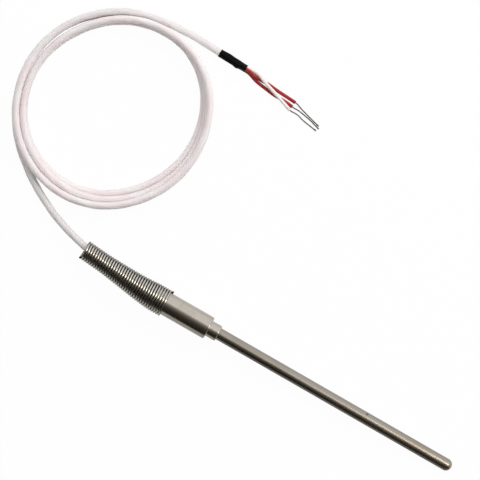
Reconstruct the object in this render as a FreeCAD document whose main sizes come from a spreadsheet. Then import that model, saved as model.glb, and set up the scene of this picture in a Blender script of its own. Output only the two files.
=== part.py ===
import FreeCAD, Part
import Sketcher
import math
import os
import re

# Resistance temperature probe lying on a table, with its lead laid in a coil. Millimetres.
# The probe is drawn along its own X axis, from the rear face of the sleeve at 0 to the tip at +X,
# and then laid down: it rests on the widest turns of its spring and on the tip of its sheath.

DRIVING_SIZES = [
    ("sheath_diameter", 6.0, "steel sheath, outside"),
    ("sheath_wall", 0.5, "sheath wall"),
    ("sheath_length", 130.0, "sheath from the nose face to the tip"),
    ("sheath_stub", 3.0, "sheath standing into the sleeve's cavity"),
    ("seat_step", 0.2, "sheath ground down where it seats in the sleeve"),
    ("tip_wall", 0.7, "closed end of the sheath on its axis"),
    ("nose_diameter", 8.0, "nose of the sleeve"),
    ("nose_length", 5.3, "nose from the shoulder to its face"),
    ("sleeve_diameter", 11.5, "body of the sleeve"),
    ("sleeve_length", 23.2, "body from the shoulder to the spring"),
    ("sleeve_wall", 1.2, "wall round the cavity"),
    ("shoulder_wall", 6.7, "solid front of the sleeve behind the shoulder"),
    ("edge_break", 0.4, "chamfer on the sleeve's outer edges"),
    ("fit_gap", 0.03, "radial gap of pieces that slide together"),
    ("spring_grip", 7.0, "length of sleeve under the spring"),
    ("spring_wire", 1.15, "spring wire, round"),
    ("spring_turn_gap", 0.18, "gap between neighbouring turns"),
    ("spring_half_turns", 71, "half turns in the winding, an odd number"),
    ("spring_mouth", 9.8, "outside of the spring at the lead's end"),
    ("spring_taper", 30.0, "length over which the spring narrows"),
    ("spring_bend_length", 14.0, "length over which the spring bends"),
    ("spring_bend_angle", 5.0, "degrees by which the lead has bent the spring"),
    ("element_diameter", 3.0, "ceramic resistance element"),
    ("element_length", 20.0, "element body"),
    ("element_tip_gap", 1.0, "cement between the element and the closed end"),
    ("element_lead_diameter", 0.4, "leads of the element"),
    ("element_lead_length", 6.0, "element leads up to the welds"),
    ("weld_size", 1.0, "thickness of a weld"),
    ("weld_length", 2.0, "length of a weld along the probe"),
    ("cement_cover", 1.5, "cement behind the welds"),
    ("wire_diameter", 0.6, "inner wires and bare conductors"),
    ("bead_gap", 0.2, "radial gap of the beads in the sheath"),
    ("bead_bore", 0.8, "bore of a bead for one wire"),
    ("bead_count", 4, "beads in the sheath"),
    ("bead_joint", 0.1, "gap from bead to bead"),
    ("ferrule_diameter", 1.3, "crimped ferrule"),
    ("ferrule_length", 5.0, "ferrule length"),
    ("ferrule_grip", 2.0, "wire held in each end of a ferrule"),
    ("splice_tube_wall", 0.15, "insulating tube over a ferrule"),
    ("splice_tube_reach", 0.5, "tube past each end of the ferrule"),
    ("splice_spacing", 0.08, "gap between neighbouring splices"),
    ("core_diameter", 1.5, "insulated core of the lead"),
    ("core_length", 3.0, "insulated core between jacket and splice"),
    ("potting_recess", 0.5, "resin below the rear face of the sleeve"),
    ("cable_diameter", 3.7, "jacket of the lead"),
    ("cable_insertion", 5.0, "jacket held in the sleeve"),
    ("cord_gap", 0.3, "gap round the lead where it runs into the coil"),
    ("coil_outer_radius", 49.0, "outside of the coil"),
    ("coil_band", 8.2, "band of turns from the coil's outside to its inside"),
    ("coil_offset_x", 1.0, "inside of the coil off the outside's centre, along X"),
    ("coil_offset_y", 2.9, "inside of the coil off the outside's centre, along Y"),
    ("coil_height", 9.3, "turns as they lie on each other"),
    ("shrink_diameter", 4.6, "shrink sleeve where it holds the jacket"),
    ("shrink_end_diameter", 4.3, "shrink sleeve where the leads come out"),
    ("shrink_length", 14.3, "shrink sleeve"),
    ("lead_diameter", 1.7, "insulated lead"),
    ("lead_spacing", 0.06, "gap between leads in the shrink sleeve"),
    ("strand_diameter", 0.65, "twisted bare end of a lead"),
]

# Routes of the lead, each point counted from the rear face of the sleeve and up from the table
COIL_CENTRE = (-63.0, 68.0)
LEAD_OUT_ROUTE = [
    (-17.0, 0.8, 7.45),
    (-29.0, 2.3, 7.5),
    (-41.0, 4.1, 7.2),
    (-51.5, 6.6, 6.2),
    (-61.0, 9.8, 4.7),
    (-70.0, 14.0, 3.2),
    (-79.0, 19.0, 2.2),
    (-87.0, 24.9, 1.9),
    (-94.0, 31.2, 1.87),
    (-99.7, 38.1, 1.86),
    (-104.1, 45.2, 1.86),
    (-107.0, 52.6, 1.86),
]
TAIL_ROUTE = [
    (-91.9, 105.0, 5.6),
    (-83.2, 111.2, 5.5),
    (-73.0, 115.2, 5.0),
    (-63.5, 117.3, 4.1),
    (-55.6, 118.2, 3.2),
    (-48.4, 118.6, 2.5),
    (-41.2, 118.4, 2.25),
    (-31.2, 118.0, 2.3),
    (-21.2, 117.82, 2.3),
]
# Routes of the three leads past the shrink sleeve; each starts at the end of the jacket
LEAD_ROUTES = {
    "white": [
        (-9.4, 117.75, 2.8),
        (-3.9, 115.95, 2.8),
        (1.4, 114.35, 2.75),
        (6.6, 112.65, 2.6),
        (11.4, 111.0, 1.9),
    ],
    "red_a": [
        (-9.6, 115.4, 2.15),
        (-4.0, 114.15, 1.35),
        (1.6, 113.4, 0.9),
        (6.9, 113.8, 0.87),
        (11.7, 112.95, 0.86),
    ],
    "red_b": [
        (-9.6, 117.1, 1.05),
        (-4.0, 117.4, 0.9),
        (1.6, 116.4, 0.87),
        (7.0, 115.9, 0.86),
        (12.0, 115.6, 0.86),
    ],
}
LEAD_STRAIGHT = 5.8
# Routes of the stripped ends; each starts straight on from its lead
BARE_END_ROUTES = {
    "white": [(17.5, 109.9, 1.2), (22.5, 109.1, 0.75), (27.4, 108.6, 0.4)],
    "red_a": [(17.8, 112.3, 0.7), (22.3, 111.5, 0.45), (28.1, 109.9, 0.35)],
    "red_b": [(17.6, 114.1, 0.75), (21.8, 112.7, 0.5), (27.5, 110.85, 0.36)],
}
BARE_END_STRAIGHT = 2.4
# Place of each core and lead in its bundle, as an angle round the bundle
CORE_ANGLES = {1: 90, 2: 210, 3: 330}
LEAD_ANGLES = {"white": 30, "red_a": 150, "red_b": 270}

# Where things lie along the probe's axis, in the words of the sheet
SHOULDER = "(spring_grip + sleeve_length)"
NOSE_FACE = f"({SHOULDER} + nose_length)"
TIP = f"({NOSE_FACE} + sheath_length)"
CAVITY_FRONT = f"({SHOULDER} - shoulder_wall)"
SHEATH_REAR = f"({CAVITY_FRONT} - sheath_stub)"
SHEATH_RADIUS = "(sheath_diameter / 2)"
SEAT_RADIUS = f"({SHEATH_RADIUS} - seat_step)"
BORE_RADIUS = f"({SHEATH_RADIUS} - sheath_wall)"
CAVITY_RADIUS = "(sleeve_diameter / 2 - sleeve_wall)"
ELEMENT_FRONT = f"({TIP} - tip_wall - element_tip_gap)"
ELEMENT_REAR = f"({ELEMENT_FRONT} - element_length)"
WELD_FRONT = f"({ELEMENT_REAR} - element_lead_length)"
WELD_REAR = f"({WELD_FRONT} - weld_length)"
CEMENT_REAR = f"({WELD_REAR} - cement_cover)"
CORE_FRONT = "(cable_insertion + core_length)"
FERRULE_REAR = f"({CORE_FRONT} + splice_tube_reach)"
FERRULE_FRONT = f"({FERRULE_REAR} + ferrule_length)"
SPLICE_DIAMETER = "(ferrule_diameter + 2 * fit_gap + 2 * splice_tube_wall)"
# Three equal rounds that nearly touch stand on a circle of their spacing over the root of three
WIRE_CIRCLE = f"((max(core_diameter; {SPLICE_DIAMETER}) + splice_spacing) / sqrt(3))"
LEAD_CIRCLE = "((lead_diameter + lead_spacing) / sqrt(3))"

doc = FreeCAD.newDocument("rtd_sensor")
sheet = doc.addObject("Spreadsheet::Sheet", "Sizes")
for row, (alias, number, meaning) in enumerate(DRIVING_SIZES, 1):
    sheet.set(f"A{row}", meaning)
    sheet.set(f"B{row}", str(number))
    sheet.setAlias(f"B{row}", alias)
doc.recompute()

subparts = []


def bound(text):
    """The text as an expression on the sheet: each size gets the sheet's name, functions stay."""
    return re.sub(r"\b(?!max\b|sqrt\b)[a-z][a-z_]*", lambda word: "Sizes." + word.group(), text)


def size(text):
    """The number that an expression on the sheet stands for now."""
    return float(sheet.evalExpression(bound(text)))


def vector(x, y, z):
    return FreeCAD.Vector(x, y, z)


def named(subpart):
    """Keep a finished sub-part for writing."""
    subparts.append(subpart)
    return subpart


def origin_plane(body, role):
    return next(part for part in body.Origin.OriginFeatures if part.Role == role)


def new_sketch(body, name, role):
    sketch = body.newObject("Sketcher::SketchObject", name)
    sketch.AttachmentSupport = [(origin_plane(body, role), "")]
    sketch.MapMode = "FlatFace"
    return sketch


def fix_point(sketch, side, end, along, out):
    """Hold a point of a sketch at two bound distances, or on an axis where a distance is nought."""
    for kind, text, axis in (("DistanceX", along, -2), ("DistanceY", out, -1)):
        if text is None:
            continue
        if text == "0":
            sketch.addConstraint(Sketcher.Constraint("PointOnObject", side, end, axis))
            continue
        index = sketch.addConstraint(Sketcher.Constraint(kind, side, end, size(text)))
        sketch.setExpression(f"Constraints[{index}]", bound(text))


def draw_half_section(sketch, corners):
    """Closed outline above the axis. A third entry in a corner names the centre, on the axis, of a dome
    that leads to the next corner; a dome's end on the axis follows from its centre."""
    spots = [vector(size(corner[0]), size(corner[1]), 0) for corner in corners]
    ends = []
    for index, corner in enumerate(corners):
        start, stop = spots[index], spots[(index + 1) % len(spots)]
        if len(corner) == 2:
            sketch.addGeometry(Part.LineSegment(start, stop))
            ends.append((1, 2))
            continue
        centre = vector(size(corner[2]), 0, 0)
        circle = Part.Circle(centre, vector(0, 0, 1), (start - centre).Length)
        sketch.addGeometry(Part.ArcOfCircle(circle, 0, math.pi / 2))
        ends.append((1, 2) if start.y < stop.y else (2, 1))
        fix_point(sketch, index, 3, corner[2], "0")
    for index, corner in enumerate(corners):
        before = corners[index - 1]
        last = (index - 1) % len(corners)
        sketch.addConstraint(Sketcher.Constraint("Coincident", last, ends[last][1], index, ends[index][0]))
        domed = len(corner) == 3 or len(before) == 3
        follows = domed and corner[1] == "0"
        fix_point(sketch, index, ends[index][0], None if follows else corner[0], corner[1])


def turned(label, corners):
    """A turned piece: a half section revolved about the probe's axis."""
    body = doc.addObject("PartDesign::Body", label)
    sketch = new_sketch(body, label + "_section", "XY_Plane")
    draw_half_section(sketch, corners)
    turn = body.newObject("PartDesign::Revolution", label + "_turn")
    turn.Profile = sketch
    turn.ReferenceAxis = (sketch, ["H_Axis"])
    turn.Angle = 360
    doc.recompute()
    return body


def rod(label, rear, front, diameter):
    """A plain round, from rear to front along the probe."""
    return turned(label, [(rear, "0"), (rear, f"{diameter} / 2"), (front, f"{diameter} / 2"), (front, "0")])


def pipe(label, rear, front, bore, diameter):
    """A plain tube, from rear to front along the probe."""
    inner, outer = f"{bore} / 2", f"{diameter} / 2"
    return turned(label, [(rear, inner), (rear, outer), (front, outer), (front, inner)])


def lying_pose():
    """How the probe comes to rest: the first bottom half turn of the spring and the tip's dome touch the
    table, so the tilt is that of the line which touches both rounds from below."""
    wire = size("spring_wire / 2")
    tip = size(SHEATH_RADIUS)
    run = size(TIP) - tip - spring_axis_point(0.5)[0]
    drop = spring_radius(0.5)
    tilt = math.atan2(drop, run) - math.asin((tip - wire) / math.hypot(run, drop))
    middle = (size(TIP) + spring_axis_point(size("spring_half_turns"))[0] - wire) / 2
    height = tip + (size(TIP) - tip) * math.sin(tilt)
    turn = FreeCAD.Rotation(vector(0, 1, 0), math.degrees(tilt))
    return FreeCAD.Placement(vector(-middle * math.cos(tilt), 0, height), turn)


def spring_pitch():
    return size("spring_wire + spring_turn_gap")


def spring_axis_point(half_turn):
    """Axis of the winding: straight on the sleeve, then bent to +Y along an arc, then straight again."""
    ahead = size("spring_grip - spring_wire / 2") - half_turn * spring_pitch() / 2
    angle = math.radians(size("spring_bend_angle"))
    bend = size("spring_bend_length")
    bent = min(max(-ahead, 0.0), bend)
    past = max(-ahead - bend, 0.0)
    radius = bend / angle
    x = max(ahead, 0.0) - radius * math.sin(bent / radius) - past * math.cos(angle)
    y = radius * (1 - math.cos(bent / radius)) + past * math.sin(angle)
    return x, y


def spring_radius(half_turn):
    """Mean radius of the winding: it grips the sleeve, then narrows to the mouth, less and less steeply."""
    grip = size("sleeve_diameter / 2 + fit_gap + spring_wire / 2")
    mouth = size("(spring_mouth - spring_wire) / 2")
    past = half_turn * spring_pitch() / 2 - size("spring_grip")
    left = 1 - min(max(past / size("spring_taper"), 0.0), 1.0)
    return mouth + (grip - mouth) * left**1.3


def spring_wire_path():
    """The wire's centre line: half circles in turn below and above the axis. Their ends stand left and right
    of the axis in one level plane, so each half circle runs straight up or down into the next."""
    ends = []
    for index in range(round(size("spring_half_turns")) + 1):
        x, y = spring_axis_point(index)
        side = -1 if index % 2 else 1
        ends.append(vector(x, y + side * spring_radius(index), 0))
    arcs = []
    for index, (start, stop) in enumerate(zip(ends, ends[1:])):
        reach = (stop - start).Length / 2
        way = 1 if index % 2 else -1
        arcs.append(Part.Arc(start, (start + stop) / 2 + vector(0, 0, way * reach), stop).toShape())
    return Part.Wire(arcs)


def cord_path(label, points):
    """Straight runs joined by tangent arcs. An arc's radius is 0.45 of its shorter run over the tangent of
    half the turn, so it takes 0.45 of that run."""
    share = 0.45
    edges, radii, here = [], [], points[0]
    for before, corner, after in zip(points, points[1:], points[2:]):
        back, ahead = before - corner, after - corner
        used = share * min(back.Length, ahead.Length)
        half_turn = (math.pi - back.getAngle(ahead)) / 2
        radii.append(used / math.tan(half_turn))
        back.normalize()
        ahead.normalize()
        entry, leave = corner + back * used, corner + ahead * used
        inward = (back + ahead).normalize()
        middle = corner + inward * (radii[-1] / math.cos(half_turn) - radii[-1])
        edges.append(Part.LineSegment(here, entry).toShape())
        edges.append(Part.Arc(entry, middle, leave).toShape())
        here = leave
    edges.append(Part.LineSegment(here, points[-1]).toShape())
    wire = Part.Wire(edges)
    print(f"{label}: length {wire.Length:.1f}, bend radii {min(radii):.1f} to {max(radii):.1f}")
    return wire


def swept(label, path, diameter, pose=FreeCAD.Placement()):
    """A round of the bound diameter swept along a path."""
    spine = doc.addObject("Part::Feature", label + "_path")
    spine.Shape = path
    spine.Placement = pose
    first = path.OrderedEdges[0]
    along = first.tangentAt(first.FirstParameter)
    circle = doc.addObject("Part::Circle", label + "_section")
    circle.setExpression("Radius", bound(f"{diameter} / 2"))
    square_on = FreeCAD.Rotation(vector(0, 0, 1), along)
    circle.Placement = pose.multiply(FreeCAD.Placement(path.OrderedVertexes[0].Point, square_on))
    sweep = doc.addObject("Part::Sweep", label)
    sweep.Sections = [circle]
    sweep.Spine = (spine, [])
    sweep.Solid = True
    doc.recompute()
    expected = math.pi * size(f"{diameter} / 2") ** 2 * path.Length
    if abs(sweep.Shape.Volume - expected) > 0.002 * expected:
        raise ValueError(f"{label} is not its section times its length")
    return sweep


def cut_by(label, base, tools):
    """The base with the room that other pieces take up cut out of it."""
    room = doc.addObject("Part::MultiFuse", label + "_room")
    room.Shapes = tools
    cut = doc.addObject("Part::Cut", label)
    cut.Base = base
    cut.Tool = room if len(tools) > 1 else tools[0]
    doc.recompute()
    return cut


def bundle_place(circle, angle):
    """Sideways place of one round in a bundle of three."""
    radius = size(circle)
    return vector(0, radius * math.cos(math.radians(angle)), radius * math.sin(math.radians(angle)))


probe_pose = lying_pose()


def on_probe(subpart, place=vector(0, 0, 0)):
    """Lay a piece down with the probe, moved sideways to its place in the bundle."""
    subpart.Placement = probe_pose.multiply(FreeCAD.Placement(place, FreeCAD.Rotation()))
    return subpart


# Sheath and sleeve
named(on_probe(turned("probe_sheath", [
    (SHEATH_REAR, BORE_RADIUS),
    (SHEATH_REAR, SEAT_RADIUS),
    (NOSE_FACE, SEAT_RADIUS),
    (NOSE_FACE, SHEATH_RADIUS),
    (f"{TIP} - {SHEATH_RADIUS}", SHEATH_RADIUS, f"{TIP} - {SHEATH_RADIUS}"),
    (TIP, "0"),
    (f"{TIP} - tip_wall", "0", f"{TIP} - tip_wall - {BORE_RADIUS}"),
    (f"{TIP} - tip_wall - {BORE_RADIUS}", BORE_RADIUS),
])))
named(on_probe(turned("transition_sleeve", [
    ("0", CAVITY_RADIUS),
    ("0", "sleeve_diameter / 2 - edge_break"),
    ("edge_break", "sleeve_diameter / 2"),
    (f"{SHOULDER} - edge_break", "sleeve_diameter / 2"),
    (SHOULDER, "sleeve_diameter / 2 - edge_break"),
    (SHOULDER, "nose_diameter / 2"),
    (f"{NOSE_FACE} - edge_break", "nose_diameter / 2"),
    (NOSE_FACE, "nose_diameter / 2 - edge_break"),
    (NOSE_FACE, f"{SEAT_RADIUS} + fit_gap"),
    (CAVITY_FRONT, f"{SEAT_RADIUS} + fit_gap"),
    (CAVITY_FRONT, CAVITY_RADIUS),
])))

# Spring
named(swept("strain_relief_spring", spring_wire_path(), "spring_wire", probe_pose))

# Element, its leads and the welds
element = named(on_probe(rod("sensing_element", ELEMENT_REAR, ELEMENT_FRONT, "element_diameter")))
single_place = bundle_place(WIRE_CIRCLE, CORE_ANGLES[1])
pair_place = (bundle_place(WIRE_CIRCLE, CORE_ANGLES[2]) + bundle_place(WIRE_CIRCLE, CORE_ANGLES[3])) / 2
in_cement = [element]
for letter, place in (("a", single_place), ("b", pair_place)):
    lead = rod(f"element_lead_{letter}", WELD_FRONT, ELEMENT_REAR, "element_lead_diameter")
    in_cement.append(named(on_probe(lead, place)))
in_cement.append(named(on_probe(rod("weld_single", WELD_REAR, WELD_FRONT, "weld_size"), single_place)))
weld_pair = doc.addObject("Part::Box", "weld_pair")
weld_pair.setExpression("Length", bound("weld_length"))
weld_pair.setExpression("Width", bound(f"sqrt(3) * {WIRE_CIRCLE} + weld_size"))
weld_pair.setExpression("Height", bound("weld_size"))
doc.recompute()
weld_corner = vector(size(WELD_REAR), -weld_pair.Width.Value / 2, -weld_pair.Height.Value / 2)
in_cement.append(named(on_probe(weld_pair, pair_place + weld_corner)))

# Inner wires, splices and the cores of the lead
in_potting = []
for number, angle in CORE_ANGLES.items():
    place = bundle_place(WIRE_CIRCLE, angle)
    wire = rod(f"inner_wire_{number}", f"{FERRULE_FRONT} - ferrule_grip", WELD_REAR, "wire_diameter")
    ferrule = pipe(f"splice_ferrule_{number}", FERRULE_REAR, FERRULE_FRONT,
                   "(wire_diameter + 2 * fit_gap)", "ferrule_diameter")
    tube = pipe(f"splice_tube_{number}", CORE_FRONT, f"{FERRULE_FRONT} + splice_tube_reach",
                "(ferrule_diameter + 2 * fit_gap)", SPLICE_DIAMETER)
    core = turned(f"cable_core_{number}", [
        ("cable_insertion", "0"),
        ("cable_insertion", "core_diameter / 2"),
        (CORE_FRONT, "core_diameter / 2"),
        (CORE_FRONT, "wire_diameter / 2"),
        (f"{FERRULE_REAR} + ferrule_grip", "wire_diameter / 2"),
        (f"{FERRULE_REAR} + ferrule_grip", "0"),
    ])
    for piece in (wire, ferrule, tube, core):
        named(on_probe(piece, place))
    in_cement.append(wire)
    in_potting += [wire, ferrule, tube, core]

# Cement in the tip
cement_fill = on_probe(turned("tip_cement_fill", [
    (CEMENT_REAR, "0"),
    (CEMENT_REAR, BORE_RADIUS),
    (f"{TIP} - tip_wall - {BORE_RADIUS}", BORE_RADIUS, f"{TIP} - tip_wall - {BORE_RADIUS}"),
    (f"{TIP} - tip_wall", "0"),
]))
named(cut_by("tip_cement", cement_fill, in_cement))


def insulator_bead(number):
    """A ceramic bead with a bore for each wire; the beads share the sheath between cement and sleeve."""
    body = doc.addObject("PartDesign::Body", f"insulator_bead_{number}")
    sketch = new_sketch(body, f"insulator_bead_{number}_section", "YZ_Plane")
    rounds = [(f"{BORE_RADIUS} - bead_gap", vector(0, 0, 0))]
    for angle in CORE_ANGLES.values():
        place = bundle_place(WIRE_CIRCLE, angle)
        rounds.append(("bead_bore / 2", vector(place.y, place.z, 0)))
    for index, (radius, centre) in enumerate(rounds):
        sketch.addGeometry(Part.Circle(centre, vector(0, 0, 1), size(radius)))
        held = sketch.addConstraint(Sketcher.Constraint("Radius", index, size(radius)))
        sketch.setExpression(f"Constraints[{held}]", bound(radius))
        sketch.addConstraint(Sketcher.Constraint("Block", index))
    pad = body.newObject("PartDesign::Pad", f"insulator_bead_{number}_length")
    pad.Profile = sketch
    share = f"(({CEMENT_REAR} - {SHEATH_REAR}) / bead_count)"
    pad.setExpression("Length", bound(f"{share} - bead_joint"))
    doc.recompute()
    return on_probe(body, vector(size(f"{SHEATH_REAR} + {number - 1} * {share} + bead_joint"), 0, 0))


for number in range(1, round(size("bead_count")) + 1):
    named(insulator_bead(number))

# The lead as it lies: from the sleeve through the spring, the coil, and the free end
table_start = vector(probe_pose.Base.x, 0, 0)


def laid(route):
    """Points of a route on the table."""
    return [table_start + vector(*point) for point in route]


jacket_start = [probe_pose.multVec(vector(size("cable_insertion"), 0, 0))]
jacket_start.append(probe_pose.multVec(vector(-size("cable_insertion"), 0, 0)))
lead_out_path = cord_path("cable_lead_out", jacket_start + laid(LEAD_OUT_ROUTE))
tail_points = laid(TAIL_ROUTE)
tail_path = cord_path("cable_tail", tail_points)
lead_out = named(swept("cable_lead_out", lead_out_path, "cable_diameter"))
named(swept("cable_tail", tail_path, "cable_diameter"))


def coil_ring():
    """The coil as one ring, thin on the side where the turns lie on each other, with rounded edges."""
    body = doc.addObject("PartDesign::Body", "coil_ring")
    sketch = new_sketch(body, "coil_outline", "XY_Plane")
    rounds = (
        ("coil_outer_radius", "0", "0"),
        ("coil_outer_radius - coil_band", "coil_offset_x", "coil_offset_y"),
    )
    for index, (radius, across, up) in enumerate(rounds):
        centre = vector(size(across), size(up), 0)
        sketch.addGeometry(Part.Circle(centre, vector(0, 0, 1), size(radius)))
        held = sketch.addConstraint(Sketcher.Constraint("Radius", index, size(radius)))
        sketch.setExpression(f"Constraints[{held}]", bound(radius))
        fix_point(sketch, index, 3, across, up)
    pad = body.newObject("PartDesign::Pad", "coil_turns")
    pad.Profile = sketch
    pad.setExpression("Length", bound("coil_height"))
    doc.recompute()
    rounding = body.newObject("PartDesign::Fillet", "coil_rounding")
    edges = [f"Edge{n}" for n, edge in enumerate(pad.Shape.Edges, 1) if edge.isClosed()]
    rounding.Base = (pad, edges)
    rounding.setExpression("Radius", bound("cable_diameter / 2"))
    doc.recompute()
    body.Placement = FreeCAD.Placement(table_start + vector(*COIL_CENTRE, 0), FreeCAD.Rotation())
    return body


way_in = swept("coil_way_in", lead_out_path, "(cable_diameter + 2 * cord_gap)")
way_out = swept("coil_way_out", tail_path, "(cable_diameter + 2 * cord_gap)")
named(cut_by("cable_coil", coil_ring(), [way_in, way_out]))

# Resin in the sleeve
potting_fill = on_probe(turned("potting_fill", [
    ("potting_recess", "0"),
    ("potting_recess", CAVITY_RADIUS),
    (CAVITY_FRONT, CAVITY_RADIUS),
    (CAVITY_FRONT, SEAT_RADIUS),
    (SHEATH_REAR, SEAT_RADIUS),
    (SHEATH_REAR, "0"),
]))
named(cut_by("potting", potting_fill, in_potting + [lead_out]))

# Shrink sleeve on the end of the lead, in line with the last run of its route
sleeve_start, jacket_end = tail_points[-2], tail_points[-1]
bundle_turn = FreeCAD.Rotation(vector(1, 0, 0), jacket_end - sleeve_start)
shrink_bore = f"(max(cable_diameter / 2; {LEAD_CIRCLE} + lead_diameter / 2) + fit_gap)"
shrink = named(turned("end_shrink_sleeve", [
    ("0", shrink_bore),
    ("0", "shrink_diameter / 2"),
    ("shrink_length / 2", "shrink_diameter / 2"),
    ("shrink_length", "shrink_end_diameter / 2"),
    ("shrink_length", shrink_bore),
]))
shrink.Placement = FreeCAD.Placement(sleeve_start, bundle_turn)

# The three leads and their stripped ends
for colour, route in LEAD_ROUTES.items():
    place = bundle_place(LEAD_CIRCLE, LEAD_ANGLES[colour])
    start = jacket_end + bundle_turn.multVec(place)
    straight = start + bundle_turn.multVec(vector(LEAD_STRAIGHT, 0, 0))
    points = [start, straight] + laid(route)
    named(swept(f"lead_{colour}", cord_path(f"lead_{colour}", points), "lead_diameter"))
    onward = (points[-1] - points[-2]).normalize() * BARE_END_STRAIGHT
    bare_points = [points[-1], points[-1] + onward] + laid(BARE_END_ROUTES[colour])
    bare_path = cord_path(f"lead_end_{colour}", bare_points)
    named(swept(f"lead_end_{colour}", bare_path, "strand_diameter"))

doc.recompute()
failed = [item.Label for item in doc.Objects if {"Invalid", "Error"} & set(item.State)]
if failed:
    raise RuntimeError(f"failed: {failed}")
for subpart in subparts:
    if subpart.Shape.isNull() or not subpart.Shape.isValid():
        raise RuntimeError(f"{subpart.Label} has no valid shape")

os.makedirs("parts", exist_ok=True)
for subpart in subparts:
    subpart.Shape.exportStep(f"parts/{subpart.Label}.step")
tilt = math.degrees(probe_pose.Rotation.Angle)
print(f"{len(subparts)} sub-parts, probe tilted {tilt:.2f} degrees, sleeve's rear face at {probe_pose.Base}")
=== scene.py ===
import math

import bmesh
import bpy
import numpy as np
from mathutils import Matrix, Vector


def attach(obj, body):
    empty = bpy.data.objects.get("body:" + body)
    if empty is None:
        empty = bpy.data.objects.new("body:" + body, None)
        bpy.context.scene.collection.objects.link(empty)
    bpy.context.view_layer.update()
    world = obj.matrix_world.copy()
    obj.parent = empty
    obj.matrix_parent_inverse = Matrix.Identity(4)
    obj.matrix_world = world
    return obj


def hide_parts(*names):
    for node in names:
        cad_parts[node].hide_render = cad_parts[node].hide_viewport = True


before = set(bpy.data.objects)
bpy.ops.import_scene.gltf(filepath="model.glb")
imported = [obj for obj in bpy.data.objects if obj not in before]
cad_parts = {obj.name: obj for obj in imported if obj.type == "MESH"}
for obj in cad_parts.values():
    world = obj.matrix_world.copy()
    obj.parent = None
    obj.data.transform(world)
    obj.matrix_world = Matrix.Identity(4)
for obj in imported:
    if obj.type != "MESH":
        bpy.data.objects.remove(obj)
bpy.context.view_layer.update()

# A resistance temperature probe on a table. Lengths are in millimetres until a mesh is made, and in
# metres from there on.
MM = 0.001
TURN = 2 * math.pi

# The probe's own frame: the middle of the sleeve's rear face, the way to the tip, and the way up
SLEEVE_REAR = np.array([-62.10776, 0.0, 7.081])
TO_TIP = np.array([0.9996846, 0.0, -0.0251139])
ACROSS = np.array([0.0, 1.0, 0.0])
UPRIGHT = np.cross(TO_TIP, ACROSS)

# Sheath: its radii, its ends along the probe from the sleeve's rear face, and the wall at its tip
SHEATH_RADIUS = 3.0
SHEATH_BORE = 2.5
SHEATH_SEAT = 2.8
SHEATH_REAR = 20.5
TIP = 165.5
TIP_WALL = 0.7
# The rubbed spot on the sheath: how far past the nose it is, and how far round, in turns
SPOT_PAST_NOSE = 81.6
SPOT_AROUND = 0.125

# Sleeve: its radii, its steps along the probe, its broken edges, and the gap that a fit leaves
SLEEVE_RADIUS = 5.75
NOSE_RADIUS = 4.0
CAVITY_RADIUS = 4.55
CAVITY_FRONT = 23.5
SHOULDER = 30.2
NOSE_FACE = 35.5
EDGE_BREAK = 0.4
EDGE_EASE = 0.14
FIT_GAP = 0.03

# Spring: its wire, its pitch, the stretch that grips the sleeve, the taper to its mouth, and its bend
WIRE_RADIUS = 0.575
WIRE_BEVEL = 0.06
WIRE_PITCH = 1.33
HALF_TURNS = 71
SPRING_GRIP = 7.0
SPRING_MOUTH = 4.325
SPRING_TAPER = 30.0
TAPER_POWER = 1.3
SPRING_BEND = 14.0
SPRING_BEND_ANGLE = math.radians(5.0)
# Lengths from a sheared end of the wire within which it is dark, and past which it is bright
SHEARED_DARK = 0.5
SHEARED_BRIGHT = 1.2

# Jacket of the lead: its radius, how far it goes into the sleeve, and the lay of the cores in it
JACKET_RADIUS = 1.85
JACKET_BEVEL = 0.1
JACKET_INSERTION = 5.0
CORE_LAY = 34.0
# Shares of that radius: the mean, the hollow between cores, and slow swells, each with its length to
# the radian and its start
JACKET_MEAN = 0.986
CORE_HOLLOW = 0.05
JACKET_SWELLS = [(0.008, 11.3, 0.0), (0.006, 4.7, 1.0)]
# Lengths along the jacket, in metres, over which the painted shade that greys its two ends goes and
# comes
PAINTED_SHADE_START = (0.16, 0.08)
PAINTED_SHADE_END = (0.97, 1.04)

# Shrink sleeve: its length, wall, thinner rims and fit on the jacket, and the radius that its skin
# is laid out on
SHRINK_LENGTH = 14.8
SHRINK_WALL = 0.13
SHRINK_RIM = 0.7 * SHRINK_WALL
SHRINK_FIT = 0.02
SHRINK_SKIN = 2.3
# Where it starts to sink past the jacket and over what length, and its mean radius and hollows there
SINK_START = 10.2
SINK_LENGTH = 1.9
RADIUS_ON_LEADS = 1.625
LEAD_HOLLOW = 0.262
# Its bulges: height, place along it, spread, and 1 for the left side or -1 for the right
SHRINK_BULGES = [(0.2, 4.5, 2.2, 1), (0.34, 10.2, 1.3, -1)]

# Leads: their radius, how far apart their middles lie in the bundle, and their straight stretches
LEAD_RADIUS = 0.85
LEAD_BEVEL = 0.05
LEAD_APART = 1.76
LEAD_CIRCLE = LEAD_APART / math.sqrt(3)
LEAD_STRAIGHT = 5.8
BARE_STRAIGHT = 1.0
# Stripped ends: the radius of the whole twist, the strands round the middle one, their lay, and how
# they open at the tip
BARE_RADIUS = 0.325
STRAND_BEVEL = 0.02
OUTER_STRANDS = 6
STRAND_LAY = 7.5
STRAND_OPENING = 0.55
OPENING_LENGTH = 2.4

# How fine the meshes are: places round a piece, rings along it and where they start, millimetres from
# ring to ring, the angle past which an edge is sharp, and how near points become one, in metres
TURNED_PLACES = 128
EDGE_POINTS = 5
WALL_RINGS = 60
WALL_START = NOSE_FACE + 2.0
WIRE_PLACES = 18
HALF_TURN_RINGS = 22
JACKET_PLACES = 28
JACKET_STEP = 0.9
SHRINK_PLACES = 64
SHRINK_RINGS = 60
LEAD_PLACES = 24
LEAD_STEP = 0.4
STRAND_PLACES = 10
STRAND_STEP = 0.2
SHARP_ANGLE = math.radians(38)
DOUBLES = 1e-8

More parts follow.
